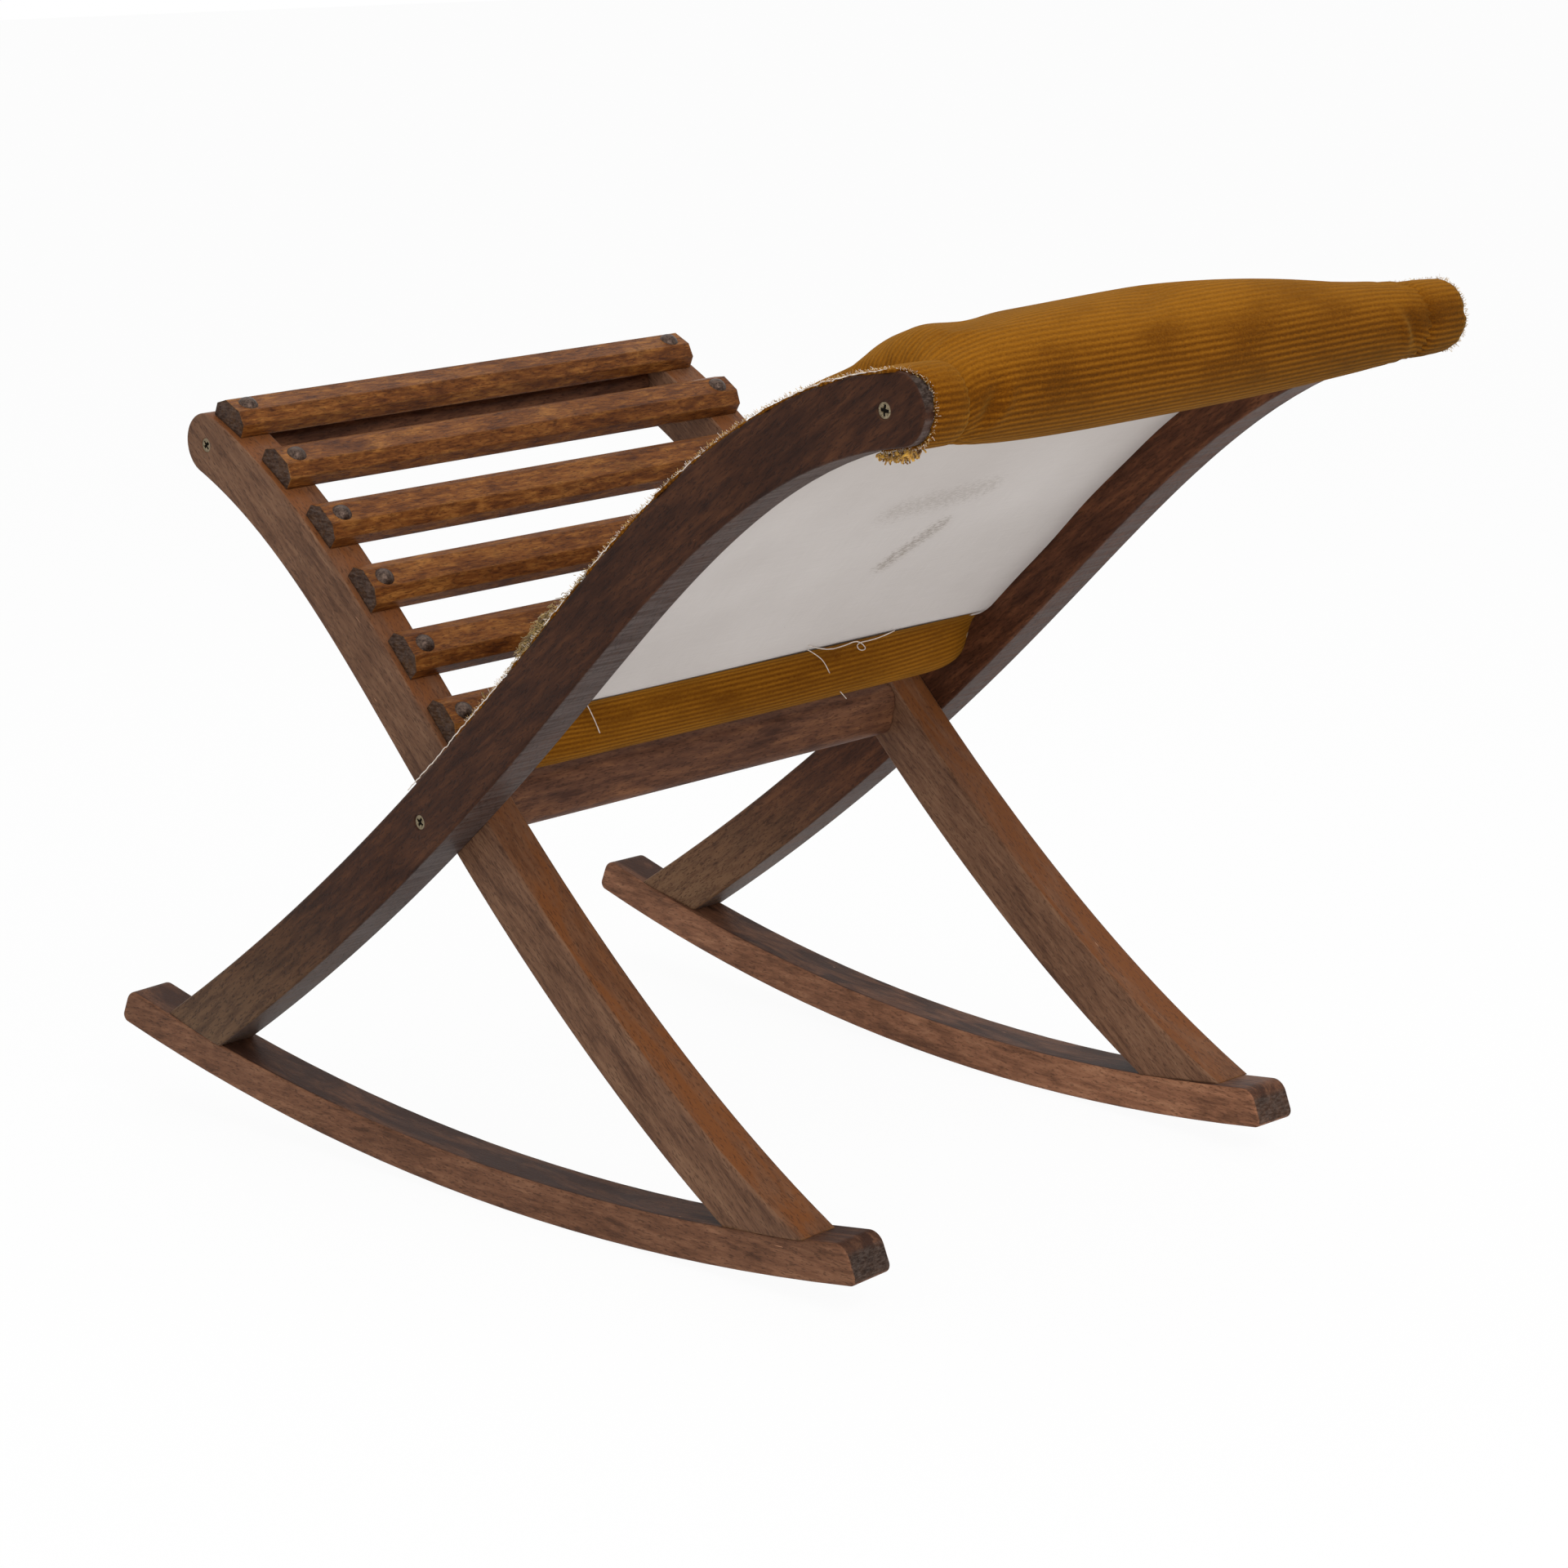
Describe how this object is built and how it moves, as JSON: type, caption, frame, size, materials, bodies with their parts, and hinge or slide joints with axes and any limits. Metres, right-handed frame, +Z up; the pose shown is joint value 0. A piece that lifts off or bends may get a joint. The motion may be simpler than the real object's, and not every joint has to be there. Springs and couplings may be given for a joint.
{
  "type": "rocking footstool",
  "caption": "Low rocking footrest on bent runners: crossed S-shaped legs carry wooden slats on one arm and a velvet pad on the other.",
  "frame": {"origin": "on the floor under the middle of the stool, where the rockers touch it", "axes": "+X along the rockers towards the padded end, +Y across the stool to its right side, +Z up"},
  "size_m": [0.6276, 0.3708, 0.4575],
  "materials": {
    "dark_wood": "satin",
    "slat_wood": "satin",
    "plain_wood": "matte",
    "velvet": "matte",
    "cotton": "matte",
    "wadding": "matte",
    "dark_bronze": "satin",
    "old_brass": "satin"
  },
  "bodies": {
    "root": {"rocker_left": "dark_wood", "rocker_right": "dark_wood", "pad_leg_left": "dark_wood", "pad_leg_right": "dark_wood", "slat_leg_left": "dark_wood", "slat_leg_right": "dark_wood", "slat_1": "slat_wood", "slat_2": "slat_wood", "slat_3": "slat_wood", "slat_4": "slat_wood", "slat_5": "slat_wood", "slat_6": "slat_wood", "stretcher": "dark_wood", "slat_rail": "dark_wood", "pad_top_rail": "plain_wood", "pad_low_rail": "plain_wood", "lining": "cotton", "velvet_cover": "velvet", "pad_filling": "wadding", "slat_nails": "dark_bronze", "crossing_screws": "old_brass", "slat_rail_screws": "old_brass", "pad_rail_screws": "old_brass", "dowels": "plain_wood"}
  },
  "joints": []
}
